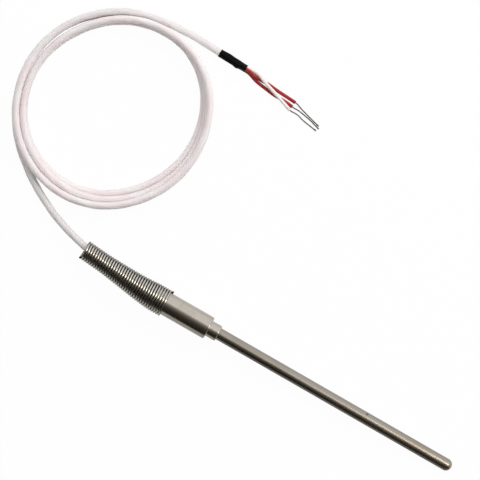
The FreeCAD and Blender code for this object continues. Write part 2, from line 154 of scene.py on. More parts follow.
# Routes of the lead, each point counted from the sleeve's rear face and up from the table
LEAD_OUT_ROUTE = [
    (-17.0, 0.8, 7.45), (-29.0, 2.3, 7.5), (-41.0, 4.1, 7.2), (-51.5, 6.6, 6.2),
    (-61.0, 9.8, 4.7), (-70.0, 14.0, 3.2), (-79.0, 19.0, 2.2), (-87.0, 24.9, 1.87),
    (-94.2, 31.05, 1.86), (-99.8, 38.05, 1.86), (-104.2, 45.15, 1.86), (-107.2, 52.5, 1.86),
]
TAIL_ROUTE = [
    (-92.15, 105.3, 5.55), (-83.4, 111.65, 5.4), (-73.1, 115.7, 5.0), (-63.5, 117.7, 4.2),
    (-55.6, 118.3, 3.25), (-48.4, 118.75, 2.5), (-41.2, 118.7, 2.14), (-31.7, 118.1, 2.13),
    (-21.2, 117.82, 2.13),
]
# Turns of the coil between them: how far out the lead lies at each eighth of a turn, a turn in a row
COIL_CENTRE = (-63.29, 68.39)
COIL_START = math.radians(-172.57)
EIGHTH_STEPS = 3
TURN_STEPS = 8 * EIGHTH_STEPS
COIL_STEP = TURN / TURN_STEPS
COIL_OUT = [
    46.4, 46.3, 46.0, 45.8, 42.3, 40.1, 41.8, 43.0,
    42.3, 41.1, 44.0, 46.8, 44.7, 43.4, 44.2, 43.6,
    42.2, 41.6, 44.9, 47.8, 46.4, 45.9, 47.6, 47.1,
    45.6, 46.1,
]
# Height of the lead where it lies on the table, the steps before the coil that its turns cross, and
# how many steps ahead the stiff lead starts to climb
LYING = JACKET_RADIUS + 0.01
STEPS_BEFORE = 3
CLIMB_STEPS = 4
# The three leads past the end of the jacket: the angle of each in the bundle, in degrees, its route,
# and the route of its stripped end
LEADS = {
    "white": (
        -25.0,
        [(-12.6, 118.75, 2.0), (-9.4, 118.3, 2.75), (-6.4, 116.9, 3.1), (-3.9, 115.95, 2.9),
         (1.4, 114.35, 2.75), (6.6, 112.65, 2.6), (11.4, 111.0, 1.9)],
        [(14.3, 110.95, 1.6), (16.9, 110.7, 1.3), (18.5, 110.0, 1.1),
         (22.5, 109.35, 0.7), (27.4, 108.65, 0.46)],
    ),
    "red_a": (
        215.0,
        [(-13.0, 116.15, 1.1), (-9.6, 114.9, 0.92), (-4.0, 114.2, 0.9), (1.6, 113.4, 0.87),
         (6.9, 113.6, 0.87), (11.7, 112.95, 0.86)],
        [(15.0, 113.0, 0.75), (18.8, 112.35, 0.6), (22.3, 111.75, 0.47),
         (25.0, 110.95, 0.46), (28.1, 110.05, 0.46)],
    ),
    "red_b": (
        95.0,
        [(-13.0, 117.0, 2.85), (-9.6, 116.6, 1.75), (-6.5, 116.55, 1.1), (-4.0, 116.75, 0.9),
         (1.6, 116.1, 0.87), (7.0, 115.85, 0.86), (12.0, 115.5, 0.86)],
        [(15.5, 114.45, 0.75), (18.9, 113.45, 0.6), (22.3, 112.55, 0.48), (27.5, 111.15, 0.46)],
    ),
}

# Surroundings, in metres: the table, the cards that lie on it beside the probe, seen only in the metal
# as painted reflections of the table with its shade, and the screens about the probe, which go from
# an angle off overhead, in degrees, down to the table
TABLE_REACH = 6.0
TABLE_DROP = 2e-5
CARD_HEIGHT = 0.0005
CARD_GAP = 0.0035
CARD_FAR = 0.06
SCREEN_REACH = 1.1
SCREEN_TOP = -16.0
WALL_REACH = 1.15
WALL_TOP = 30.0
WALL_LENGTH = 1.4
SCREEN_FOOT = 89.9
SCREEN_POINTS = 40
# Stretches along the table where its mirrored greys change: just past the nose, and where the spring
# starts
BESIDE_NOSE = (-0.02, -0.026)
BESIDE_SPRING = (-0.054, -0.06)
# How much of the table glows white where it is seen, and how much light the room gives
TABLE_GLOW = 0.965
ROOM_LIGHT = 0.79


class Shade:
    """A socket of a finish. Sums, products and powers of shades and numbers add Math nodes."""

    def __init__(self, socket):
        self.socket = socket
        self.tree = socket.id_data

    @staticmethod
    def made(tree, kind, settings=None, inputs=None, out=0):
        """Any node: its settings first, then its sockets by name or number, as values or links."""
        node = tree.nodes.new(kind)
        for key, value in (settings or {}).items():
            setattr(node, key, value)
        for key, value in (inputs or {}).items():
            if isinstance(value, Shade):
                tree.links.new(value.socket, node.inputs[key])
            else:
                node.inputs[key].default_value = value
        return Shade(node.outputs[out])

    def math(self, operation, first, second=0.0):
        """A Math node on one or two values."""
        return Shade.made(self.tree, "ShaderNodeMath", {"operation": operation}, {0: first, 1: second})

    def __add__(self, other):
        return self.math("ADD", self, other)

    def __radd__(self, other):
        return self.math("ADD", other, self)

    def __sub__(self, other):
        return self.math("SUBTRACT", self, other)

    def __rsub__(self, other):
        return self.math("SUBTRACT", other, self)

    def __mul__(self, other):
        return self.math("MULTIPLY", self, other)

    def __rmul__(self, other):
        return self.math("MULTIPLY", other, self)

    def __pow__(self, other):
        return self.math("POWER", self, other)

    def cos(self):
        return self.math("COSINE", self)

    def sin(self):
        return self.math("SINE", self)

    def abs(self):
        return self.math("ABSOLUTE", self)

    def exp(self):
        return self.math("EXPONENT", self)

    def either(self, other):
        """The greater of two shades."""
        return self.math("MAXIMUM", self, other)

    def rise(self, low, high):
        """Nought below low, one above high, and a smooth rise between; with low above high it falls."""
        return Shade.made(self.tree, "ShaderNodeMapRange", {"interpolation_type": "SMOOTHSTEP"},
                          {"Value": self, "From Min": low, "From Max": high})

    def tint(self, here, there):
        """The first colour where the shade is nought, the second where it is one."""
        inputs = {0: self}
        for slot, colour in ((6, here), (7, there)):
            inputs[slot] = colour if isinstance(colour, Shade) else (*colour, 1.0)
        return Shade.made(self.tree, "ShaderNodeMix", {"data_type": "RGBA"}, inputs, 2)

    def clouds(self, scale, detail=2.0, roughness=0.5):
        """Noise over a place, near a half on average, with so many clouds to the metre."""
        return Shade.made(self.tree, "ShaderNodeTexNoise", {},
                          {"Vector": self, "Scale": scale, "Detail": detail, "Roughness": roughness})

    def streaks(self, along, across, detail=2.0, roughness=0.5):
        """Noise over a round piece, with so many clouds to the metre along it and so many across it."""
        scaled = {0: self, 1: (along, across, across)}
        drawn = Shade.made(self.tree, "ShaderNodeVectorMath", {"operation": "MULTIPLY"}, scaled)
        return drawn.clouds(1.0, detail, roughness)

    def relief(self, distance, strength=1.0):
        """The shade as a height that tilts the surface, in metres."""
        return Shade.made(self.tree, "ShaderNodeBump", {},
                          {"Height": self, "Distance": distance, "Strength": strength})


class Finish:
    """A material: its shader, the place on the object, and the places along and round a piece."""

    def __init__(self, name, **constants):
        self.material = bpy.data.materials.new(name)
        self.material.use_nodes = True
        self.tree = self.material.node_tree
        self.shader = self.tree.nodes["Principled BSDF"]
        for key, value in constants.items():
            self.put(key.replace("_", " "), value)

    def put(self, key, value):
        """Links a shade to a socket of the shader, or sets a plain value or colour on it."""
        socket = self.shader.inputs[key]
        if isinstance(value, Shade):
            self.tree.links.new(value.socket, socket)
        else:
            socket.default_value = (*value, 1.0) if socket.type == "RGBA" else value

    def place(self):
        """Where a point is on the object, in metres."""
        return Shade.made(self.tree, "ShaderNodeTexCoord", out="Object")

    def parts(self, place, axes):
        """The parts of a place along some of its axes."""
        return tuple(Shade.made(self.tree, "ShaderNodeSeparateXYZ", {}, {0: place}, axis)
                     for axis in axes)

    def unrolled(self):
        """Length along the piece in metres and turns round it, from its own map."""
        return self.parts(Shade.made(self.tree, "ShaderNodeUVMap"), "XY")

    def rolled(self, along, around, radius):
        """A place that follows a round piece without a seam: its length, and a circle for its girth."""
        angle = around * TURN
        circle = {0: along, 1: angle.cos() * radius, 2: angle.sin() * radius}
        return Shade.made(self.tree, "ShaderNodeCombineXYZ", {}, circle)


def seen_directly(tree):
    """One for what is seen, straight, mirrored or through glass, and nought for light that falls."""
    camera, mirror, glass = (Shade.made(tree, "ShaderNodeLightPath", out=f"Is {ray} Ray")
                             for ray in ("Camera", "Glossy", "Transmission"))
    return camera.either(mirror).either(glass)


# Finishes

def sheath_steel():
    """Satin drawn tube: fine streaks along it, a brown cast in patches and one rubbed spot. Towards
    the tip it is browner and a little duller."""
    finish = Finish("satin sheath steel", Metallic=1.0)
    along, around = finish.unrolled()
    skin = finish.rolled(along, around, SHEATH_RADIUS * MM)
    streak = skin.streaks(40.0, 2600.0, 3.0, 0.6)
    patch = skin.streaks(70.0, 220.0)
    brown = patch.rise(0.35, 0.75) * 0.7 + along.rise(0.06, 0.15) * 0.3
    cast = brown.tint((0.37, 0.343, 0.31), (0.338, 0.296, 0.246))
    spot_along = ((along - (NOSE_FACE + SPOT_PAST_NOSE - SHEATH_REAR) * MM) * 900.0) ** 2.0
    spot_around = ((around - SPOT_AROUND) * 18.0) ** 2.0
    spot = (spot_along + spot_around + streak).rise(1.1, 0.5)
    finish.put("Base Color", (spot * 0.8).tint(cast, (0.10, 0.095, 0.085)))
    worn = along.rise(0.05, 0.13)
    finish.put("Roughness", 0.2 + streak * 0.14 + spot * 0.25 + worn * 0.06)
    finish.put("Normal", streak.relief(0.00002, 0.35))
    return finish.material


def sleeve_steel():
    """Fine turned steel: rings left by the tool, slightly uneven, on a bright surface."""
    finish = Finish("turned sleeve steel", Metallic=1.0)
    along, around = finish.unrolled()
    skin = finish.rolled(along, around, SLEEVE_RADIUS * MM)
    rings = skin.streaks(9000.0, 12.0, 2.0, 0.6)
    # Darker, duller patches where the sleeve was handled
    darkening = skin.clouds(260.0, 4.0)
    bright = darkening.rise(0.3, 0.75).tint((0.545, 0.505, 0.455), (0.49, 0.445, 0.395))
    finish.put("Base Color", bright)
    finish.put("Roughness", 0.13 + rings * 0.1 + darkening.rise(0.45, 0.8) * 0.08)
    finish.put("Normal", rings.relief(0.000012, 0.3))
    return finish.material


def spring_steel(length):
    """Bright drawn wire with dark sheared ends, and painted shade where neighbouring turns face each
    other: there it is darker, and rougher too.
    """
    finish = Finish("bright spring wire", Metallic=1.0)
    along, around = finish.unrolled()
    skin = finish.rolled(along, around, WIRE_RADIUS * MM)
    drawn = skin.streaks(60.0, 5000.0, 2.0, 0.6)
    facing = (around * TURN).sin().abs()
    # Painted shade on the flanks that face the neighbouring turns, which are also made rougher
    shade_between_turns = (facing + drawn * 0.2).rise(0.52, 0.88)
    first_end = along.rise(SHEARED_BRIGHT * MM, SHEARED_DARK * MM)
    last_end = along.rise((length - SHEARED_BRIGHT) * MM, (length - SHEARED_DARK) * MM)
    sheared = first_end.either(last_end)
    wire = shade_between_turns.tint((0.6, 0.572, 0.525), (0.07, 0.064, 0.054))
    finish.put("Base Color", sheared.tint(wire, (0.05, 0.045, 0.04)))
    finish.put("Roughness", 0.14 + drawn * 0.1 + shade_between_turns * 0.25 + sheared * 0.25)
    finish.put("Normal", drawn.relief(0.00001, 0.3))
    return finish.material


def jacket_skin():
    """Thin milky jacket: the twisted cores show through it, a white one and two red ones, each fading
    into the next. Painted shade greys it on the stretches by its two ends and darkens the hollows
    between the cores. The twist is the place round the lead less the place along it over the lay."""
    finish = Finish("milky lead jacket", IOR=1.4, Subsurface_Weight=0.35, Subsurface_Scale=0.0025)
    finish.put("Subsurface Radius", (1.0, 0.93, 0.92))
    along, around = finish.unrolled()
    skin = finish.rolled(along, around, JACKET_RADIUS * MM)
    slow = skin.streaks(55.0, 90.0)
    twist = (around - along * (1 / (CORE_LAY * MM)) + slow * 0.35) * TURN
    white_core = twist.cos().rise(-0.2, 0.75)
    # Painted shade in the hollows between the cores
    shade_in_hollows = (twist * 1.5).cos().abs().rise(0.22, 0.0)
    red = (0.45 + slow.rise(0.3, 0.7) * 0.55) * (1 - white_core * 0.75)
    # Painted shade: the stretches by both ends of the jacket are made greyer
    darkening = along.rise(*PAINTED_SHADE_START).either(along.rise(*PAINTED_SHADE_END)) * 0.85
    tone = darkening.tint(red.tint((0.88, 0.842, 0.832), (0.875, 0.765, 0.772)), (0.76, 0.735, 0.73))
    finish.put("Base Color", (shade_in_hollows * 0.35).tint(tone, (0.68, 0.62, 0.615)))
    fine = skin.streaks(300.0, 1500.0, 3.0)
    finish.put("Roughness", 0.3 + fine * 0.14)
    finish.put("Normal", fine.relief(0.00002, 0.12))
    return finish.material


def shrink_skin():
    """Matte black shrunk sleeve: a fine pebbled skin with faint creases along it."""
    finish = Finish("matte shrink sleeve", Specular_IOR_Level=0.08)
    along, around = finish.unrolled()
    skin = finish.rolled(along, around, SHRINK_SKIN * MM)
    pebble = skin.clouds(5200.0, 3.0, 0.6)
    crease = skin.streaks(120.0, 1100.0)
    black = crease.rise(0.4, 0.75).tint((0.0015, 0.0015, 0.0016), (0.004, 0.0039, 0.0037))
    finish.put("Base Color", black)
    finish.put("Roughness", 0.42 + pebble * 0.3)
    finish.put("Normal", (pebble + crease * 2.5).relief(0.00006, 0.6))
    return finish.material


def lead_skin(name, fresh, worn):
    """Smooth extruded insulation with a slow change of tone and faint lines from the die."""
    finish = Finish(name, IOR=1.45)
    along, around = finish.unrolled()
    skin = finish.rolled(along, around, LEAD_RADIUS * MM)
    lines = skin.streaks(90.0, 3800.0)
    tone = skin.streaks(260.0, 500.0, 3.0)
    finish.put("Base Color", tone.rise(0.3, 0.75).tint(fresh, worn))
    finish.put("Roughness", 0.3 + lines * 0.18)
    finish.put("Normal", lines.relief(0.00001, 0.2))
    return finish.material


def strand_tin():
    """Tinned copper: grey metal, with darker and duller patches where it was stripped."""
    finish = Finish("tinned strands", Metallic=1.0)
    rub = finish.place().clouds(900.0, 3.0)
    finish.put("Base Color", rub.rise(0.35, 0.7).tint((0.19, 0.186, 0.178), (0.115, 0.111, 0.103)))
    finish.put("Roughness", 0.2 + rub * 0.25)
    finish.put("Normal", rub.relief(0.00001, 0.3))
    return finish.material


def inner_finish(name, pale, deep, scale, roughness, metallic=0.0):
    """A finish for a piece inside the probe: two near tones in grains of one size, in slight relief."""
    finish = Finish(name, Metallic=metallic)
    grain = finish.place().clouds(scale, 4.0, 0.6)
    finish.put("Base Color", grain.rise(0.3, 0.7).tint(pale, deep))
    finish.put("Roughness", roughness + grain * 0.15)
    finish.put("Normal", grain.relief(0.00003, 0.4))
    return finish.material


# Shapes

def unit(vectors):
    """Vectors with their lengths brought to one."""
    return vectors / np.linalg.norm(vectors, axis=-1, keepdims=True)


def run_along(line):
    """Length along a line at each of its points: the steps between them added up."""
    return np.concatenate([[0.0], np.cumsum(np.linalg.norm(np.diff(line, axis=0), axis=1))])


def angles_round(places):
    """Angles of evenly spaced places round a ring."""
    return np.arange(places) * TURN / places


def on_probe(along, across, up):
    """Places in the probe's own frame, in the frame of the table."""
    along, across, up = (np.asarray(value)[..., None] for value in (along, across, up))
    return SLEEVE_REAR + along * TO_TIP + across * ACROSS + up * UPRIGHT


def on_table(route):
    """Points of a route, counted from the sleeve's rear face, on the table."""
    return np.asarray(route, float) + (SLEEVE_REAR[0], 0.0, 0.0)


def surface(name, rings, lengths, material, replaced):
    """A piece from grids of points, rings along it and places round each ring, joined to their
    neighbours and closed round about; a ring that shrinks to a point closes an end. The piece's own
    map holds the length along it, in metres, and the turns round it."""
    grids, rows, places = rings.reshape(-1, *rings.shape[-3:]).shape[:3]
    counts = (grids, rows - 1, places)
    grid, row, place = np.meshgrid(*map(np.arange, counts), indexing="ij")
    start = (grid * rows + row) * places
    onward = (place + 1) % places
    corners = np.stack([start + place, start + places + place,
                        start + places + onward, start + onward], -1)
    metres = np.asarray(lengths) * MM
    u = metres[np.stack([row, row + 1, row + 1, row], -1)]
    v = np.stack([place, place, place + 1, place + 1], -1) / places
    mesh = bpy.data.meshes.new(name)
    mesh.vertices.add(grids * rows * places)
    mesh.vertices.foreach_set("co", (rings * MM).astype(np.float32).ravel())
    mesh.loops.add(corners.size)
    mesh.loops.foreach_set("vertex_index", corners.astype(np.int32).ravel())
    mesh.polygons.add(corners.size // 4)
    mesh.polygons.foreach_set("loop_start", np.arange(0, corners.size, 4, dtype=np.int32))
    mesh.polygons.foreach_set("use_smooth", np.ones(corners.size // 4, bool))
    unrolled = mesh.uv_layers.new(name="UVMap")
    unrolled.data.foreach_set("uv", np.stack([u, v], -1).astype(np.float32).ravel())
    mesh.update(calc_edges=True)
    shell = bmesh.new()
    shell.from_mesh(mesh)
    bmesh.ops.remove_doubles(shell, verts=shell.verts, dist=DOUBLES)
    bmesh.ops.recalc_face_normals(shell, faces=shell.faces)
    shell.to_mesh(mesh)
    shell.free()
    mesh.set_sharp_from_angle(angle=SHARP_ANGLE)
    mesh.materials.append(material)
    piece = bpy.data.objects.new(name, mesh)
    bpy.context.collection.objects.link(piece)
    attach(piece, "root")
    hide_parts(*replaced)
    return piece


def eased(corners, ease):
    """A closed outline with its corners eased: each becomes the parabola that leaves one side and
    meets the next one at the given distance from the corner."""
    corners = np.asarray(corners, float)
    sides = [np.roll(corners, step, 0) - corners for step in (1, -1)]
    spans = [np.linalg.norm(side, axis=1, keepdims=True) for side in sides]
    start, stop = (corners + side / span * np.minimum(ease, span / 3)
                   for side, span in zip(sides, spans))
    t = np.linspace(0, 1, EDGE_POINTS)[:, None]
    curve = (1 - t) ** 2 * start[:, None] + 2 * t * (1 - t) * corners[:, None] + t**2 * stop[:, None]
    return curve.reshape(-1, 2)


def turned(name, outline, material, replaced):
    """A turned piece: a closed outline of places along the probe and radii, carried round the axis."""
    outline = np.concatenate([outline, outline[:1]])
    angle = angles_round(TURNED_PLACES)
    along = np.broadcast_to(outline[:, :1], (len(outline), TURNED_PLACES))
    rings = on_probe(along, outline[:, 1:] * np.cos(angle), outline[:, 1:] * np.sin(angle))
    return surface(name, rings, outline[:, 0] - outline[:, 0].min(), material, replaced)


def level_side(line):
    """The level way across a line, at each of its points."""
    return unit(np.cross((0.0, 0.0, 1.0), np.gradient(line, axis=0)))


def round_along(line, run, side, radii, bevel):
    """Rings of a round piece along a line, and the length along it at each. A ring is square to the
    line and starts on the side given there; its radii are one for each place round it. Both ends are
    cut flat: a ring drawn in by the bevel, then a point."""
    ahead = unit(np.gradient(line, axis=0))
    side = unit(side - (side * ahead).sum(1, keepdims=True) * ahead)
    angle = angles_round(radii.shape[1])[:, None]
    circle = np.cos(angle) * side[:, None] + np.sin(angle) * np.cross(ahead, side)[:, None]
    ends = [0, 0] + list(range(len(line))) + [-1, -1]
    reach = np.zeros((len(ends), 1, 1))
    reach[2], reach[-3] = bevel, -bevel
    radii = radii[ends].copy()
    radii[[1, -2]] -= bevel
    radii[[0, -1]] = 0
    middles = line[ends][:, None] + reach * ahead[ends][:, None]
    return middles + radii[..., None] * circle[ends], run[ends]


def laid_line(name, route, spacing):
    """The smooth line of a route: a NURBS spline of order 3 that starts and ends at the route's ends,
    read back and spaced evenly along its length."""
    route = np.asarray(route, float)
    control = np.column_stack([route, np.ones(len(route))])
    curve = bpy.data.curves.new(name, "CURVE")
    curve.dimensions = "3D"
    spline = curve.splines.new("NURBS")
    spline.points.add(len(route) - 1)
    spline.points.foreach_set("co", control.astype(np.float32).ravel())
    spline.order_u = 3
    spline.use_endpoint_u = True
    spline.resolution_u = 16
    holder = bpy.data.objects.new(name, curve)
    drawn = bpy.data.meshes.new_from_object(holder)
    points = np.empty(len(drawn.vertices) * 3, np.float32)
    drawn.vertices.foreach_get("co", points)
    points = points.reshape(-1, 3).astype(float)
    bpy.data.objects.remove(holder)
    bpy.data.curves.remove(curve)
    bpy.data.meshes.remove(drawn)
    run = run_along(points)
    even = np.linspace(0, run[-1], round(run[-1] / spacing) + 1)
    return np.column_stack([np.interp(even, run, points[:, axis]) for axis in range(3)]), even


# Sheath and sleeve

def dome(centre, radius, first, last, count):
    """Part of a circle about a point on the axis, between two angles off the axis, in degrees."""
    angle = np.radians(np.linspace(first, last, count))
    return np.column_stack([centre + radius * np.cos(angle), radius * np.sin(angle)])


def sheath_outline():
    """Rear rim, ground seat, step, long wall and tip dome, then the dome inside and the bore."""
    seat = [(SHEATH_REAR, SHEATH_BORE), (SHEATH_REAR, SHEATH_SEAT), (NOSE_FACE, SHEATH_SEAT),
            (NOSE_FACE, SHEATH_RADIUS)]
    outside = TIP - SHEATH_RADIUS
    inside = TIP - TIP_WALL - SHEATH_BORE
    wall = np.linspace(WALL_START, outside, WALL_RINGS)
    return np.concatenate([
        seat,
        np.column_stack([wall, np.full(WALL_RINGS, SHEATH_RADIUS)]),
        dome(outside, SHEATH_RADIUS, first=88, last=0, count=24),
        dome(inside, SHEATH_BORE, first=0, last=90, count=16),
    ])


def sleeve_outline():
    """Cavity, rear rim, body, shoulder, nose and bore: outer edges broken, then every corner eased."""
    body, nose, bore = SLEEVE_RADIUS, NOSE_RADIUS, SHEATH_SEAT + FIT_GAP
    corners = [
        (0, CAVITY_RADIUS), (0, body - EDGE_BREAK), (EDGE_BREAK, body),
        (SHOULDER - EDGE_BREAK, body), (SHOULDER, body - EDGE_BREAK), (SHOULDER, nose),
        (NOSE_FACE - EDGE_BREAK, nose), (NOSE_FACE, nose - EDGE_BREAK), (NOSE_FACE, bore),
        (CAVITY_FRONT, bore), (CAVITY_FRONT, CAVITY_RADIUS),
    ]
    return eased(corners, EDGE_EASE)


turned("sheath_tube", sheath_outline(), sheath_steel(), ["probe_sheath"])
turned("sleeve_body", sleeve_outline(), sleeve_steel(), ["transition_sleeve"])


# Spring

def winding_axis(half_turn):
    """Axis of the winding: straight on the sleeve, then across along an arc, then straight again."""
    ahead = SPRING_GRIP - WIRE_RADIUS - half_turn * WIRE_PITCH / 2
    radius = SPRING_BEND / SPRING_BEND_ANGLE
    bent = np.clip(-ahead, 0, SPRING_BEND)
    past = np.maximum(-ahead - SPRING_BEND, 0)
    along = np.maximum(ahead, 0) - radius * np.sin(bent / radius) - past * math.cos(SPRING_BEND_ANGLE)
    across = radius * (1 - np.cos(bent / radius)) + past * math.sin(SPRING_BEND_ANGLE)
    return along, across


def winding_radius(half_turn):
    """Mean radius of the winding: it grips the sleeve, then narrows to its mouth, less and less
    steeply, by a power of what is left of the taper."""
    grip = SLEEVE_RADIUS + FIT_GAP + WIRE_RADIUS
    left = 1 - np.clip((half_turn * WIRE_PITCH / 2 - SPRING_GRIP) / SPRING_TAPER, 0, 1)
    return SPRING_MOUTH + (grip - SPRING_MOUTH) * left**TAPER_POWER


def spring_winding():
    """The wire: a helix about the bent axis, half a turn below it and half a turn above it in turn, as
    a round carried along that line from the side that faces away from the axis."""
    half_turn = np.linspace(0, HALF_TURNS, HALF_TURNS * HALF_TURN_RINGS + 1)
    along, across = winding_axis(half_turn)
    radius, angle = winding_radius(half_turn), np.pi * half_turn
    line = on_probe(along, across + radius * np.cos(angle), -radius * np.sin(angle))
    outward = line - on_probe(along, across, np.zeros_like(along))
    run = run_along(line)
    radii = np.full((len(line), WIRE_PLACES), WIRE_RADIUS)
    rings, lengths = round_along(line, run, outward, radii, WIRE_BEVEL)
    wire = spring_steel(run[-1])
    return surface("spring_winding", rings, lengths, wire, ["strain_relief_spring"])


spring_winding()


# The jacketed lead

def coil_radii():
    """How far out the lead lies at each step round the coil: a cubic from eighth to eighth of a turn,
    which passes each radius given there with the slope between its two neighbours."""
    radii = np.asarray(COIL_OUT)
    slopes = np.gradient(radii)
    step = np.arange((len(radii) - 1) * EIGHTH_STEPS + 1)
    eighth = np.minimum(step // EIGHTH_STEPS, len(radii) - 2)
    t = step / EIGHTH_STEPS - eighth
    leaving = (radii[eighth] * (1 + 2 * t) + slopes[eighth] * t) * (1 - t) ** 2
    coming = (radii[eighth + 1] * (3 - 2 * t) + slopes[eighth + 1] * (t - 1)) * t**2
    return leaving + coming


def coil_heights(out):
    """Height of the lead at each step round the coil. It lies on the table, or on the turns before it
    that it crosses: there the middles of the two stay a width apart, so the lift is the root of the
    width squared less the gap between them squared. A stiff lead climbs early and sinks late: no step
    stays under the mean of its neighbours, worked out as many times as it climbs steps ahead."""
    before = COIL_START + COIL_STEP * np.arange(STEPS_BEFORE, 0, -1)
    x, y = (np.asarray(LEAD_OUT_ROUTE)[:, :2] - COIL_CENTRE).T
    out = np.concatenate([np.interp(-before, -np.arctan2(y, x), np.hypot(x, y)), out])
    height = np.full(len(out), LYING)
    width = 2 * LYING
    for _ in range(CLIMB_STEPS):
        height[1:-1] = np.maximum(height[1:-1], (height[:-2] + height[2:]) / 2)
        for back in range(TURN_STEPS, len(out), TURN_STEPS):
            gap = np.abs(out[back:] - out[:-back])
            lift = np.sqrt(np.maximum(width**2 - gap**2, 0))
            crossing = np.where(gap < width, height[:-back] + lift, LYING)
            height[back:] = np.maximum(height[back:], crossing)
    return height[STEPS_BEFORE:]


def coil_turns():
    """Turns of the coil, one point a step; a point stands out by the cosine of half a step, so that
    the smooth line between the points keeps the coil's own radius."""
    out = coil_radii()
    angle = COIL_START - COIL_STEP * np.arange(len(out))
    stand_out = out / math.cos(COIL_STEP / 2)
    x = COIL_CENTRE[0] + stand_out * np.cos(angle)
    y = COIL_CENTRE[1] + stand_out * np.sin(angle)
    return np.column_stack([x, y, coil_heights(out)])


lead_start = on_probe([JACKET_INSERTION, -JACKET_INSERTION], [0, 0], [0, 0])
lead_stretches = [on_table(stretch) for stretch in (LEAD_OUT_ROUTE, coil_turns(), TAIL_ROUTE)]
lead_route = np.concatenate([lead_start, *lead_stretches])
lead_line, lead_run = laid_line("lead_route", lead_route, JACKET_STEP)


def jacketed_lead():
    """The jacket over three twisted cores: its radius falls a little between the cores, which turn
    once in each lay, and swells and shrinks slowly along the lead, by a sum of sines."""
    angle = angles_round(JACKET_PLACES)
    hollow = 0.5 - 0.5 * np.cos(3 * (angle - TURN * lead_run[:, None] / CORE_LAY))
    slow = sum(size * np.sin(lead_run / length + start) for size, length, start in JACKET_SWELLS)
    radii = JACKET_RADIUS * (JACKET_MEAN - CORE_HOLLOW * hollow + slow[:, None])
    rings, lengths = round_along(lead_line, lead_run, level_side(lead_line), radii, JACKET_BEVEL)
    stretches = ["cable_lead_out", "cable_coil", "cable_tail"]
    return surface("jacketed_lead", rings, lengths, jacket_skin(), stretches)


lead_piece = jacketed_lead()

# The bundle at the end of the jacket: where the shrink sleeve starts, where the jacket ends, and the
# ways ahead, across and up there
shrink_start, jacket_end = on_table(TAIL_ROUTE)[-2:]
bundle_ahead = unit(jacket_end - shrink_start)
bundle_side = unit(np.cross((0.0, 0.0, 1.0), bundle_ahead))
bundle_up = np.cross(bundle_ahead, bundle_side)


def shrink_sleeve():
    """The sleeve as one wall, out along its outside and back along its inside. It is round on the
    jacket, and past the jacket's end it sinks between the three leads: there its radius goes with the
    cosine of three times the angle from a lead. It bulges to one side over the jacket, and to the
    other side where the jacket ends: each bulge is a bell along the sleeve times the square of half
    of one plus or less the cosine round it."""
    out = np.concatenate([[0.0], np.linspace(0, SHRINK_LENGTH, SHRINK_RINGS), [SHRINK_LENGTH]])
    wall = np.concatenate([[SHRINK_RIM], np.full(SHRINK_RINGS, SHRINK_WALL), [SHRINK_RIM]])
    along = np.concatenate([out, out[::-1], out[:1]])[:, None]
    wall = np.concatenate([wall, np.zeros(len(out)), wall[:1]])[:, None]
    angle = angles_round(SHRINK_PLACES)
    past = np.clip((along - SINK_START) / SINK_LENGTH, 0, 1)
    past = past * past * (3 - 2 * past)
    on_jacket = JACKET_RADIUS + SHRINK_FIT
    from_lead = angle - math.radians(LEADS["red_b"][0])
    on_leads = RADIUS_ON_LEADS + LEAD_HOLLOW * np.cos(3 * from_lead)
    bulge = 0.0
    for height, place, spread, side in SHRINK_BULGES:
        bell = height * np.exp(-(((along - place) / spread) ** 2))
        bulge = bulge + bell * (0.5 + 0.5 * side * np.cos(angle)) ** 2
    radii = on_jacket * (1 - past) + on_leads * past + wall + np.where(wall > 0, bulge, 0.0)
    circle = np.cos(angle)[:, None] * bundle_side + np.sin(angle)[:, None] * bundle_up
    rings = shrink_start + along[..., None] * bundle_ahead + radii[..., None] * circle
    skin = shrink_skin()
    return surface("shrink_sleeve", rings, along[:, 0], skin, ["end_shrink_sleeve"])


shrink_piece = shrink_sleeve()


# The three leads and their stripped ends

def insulated_lead(name, line, run, material):
    """Insulation of one lead: a plain round with flat cut ends along its line."""
    radii = np.full((len(line), LEAD_PLACES), LEAD_RADIUS)
    rings, lengths = round_along(line, run, level_side(line), radii, LEAD_BEVEL)
    return surface(f"{name}_insulation", rings, lengths, material, [name])


def stripped_end(name, line, run, material):
    """Strands of a stripped end, each a third of the twist's radius: one along the line and the others
    wound round it, which open by the square of how near the tip they are. Each is a round of its own
    with cut ends."""
    fine = BARE_RADIUS / 3
    side, ahead = level_side(line), unit(np.gradient(line, axis=0))
    up = np.cross(ahead, side)
    near_tip = np.clip((run - run[-1] + OPENING_LENGTH) / OPENING_LENGTH, 0, 1)
    opening = 1 + STRAND_OPENING * near_tip**2
    radii = np.full((len(line), STRAND_PLACES), fine)
    strands = []
    for number, off in enumerate([0.0] + [2 * fine] * OUTER_STRANDS):
        turn = (TURN * number / OUTER_STRANDS + TURN * run / STRAND_LAY)[:, None]
        strand = line + off * opening[:, None] * (np.cos(turn) * side + np.sin(turn) * up)
        rings, lengths = round_along(strand, run, side, radii, STRAND_BEVEL)
        strands.append(rings)
    return surface(f"{name}_strands", np.stack(strands), lengths, material, [name])


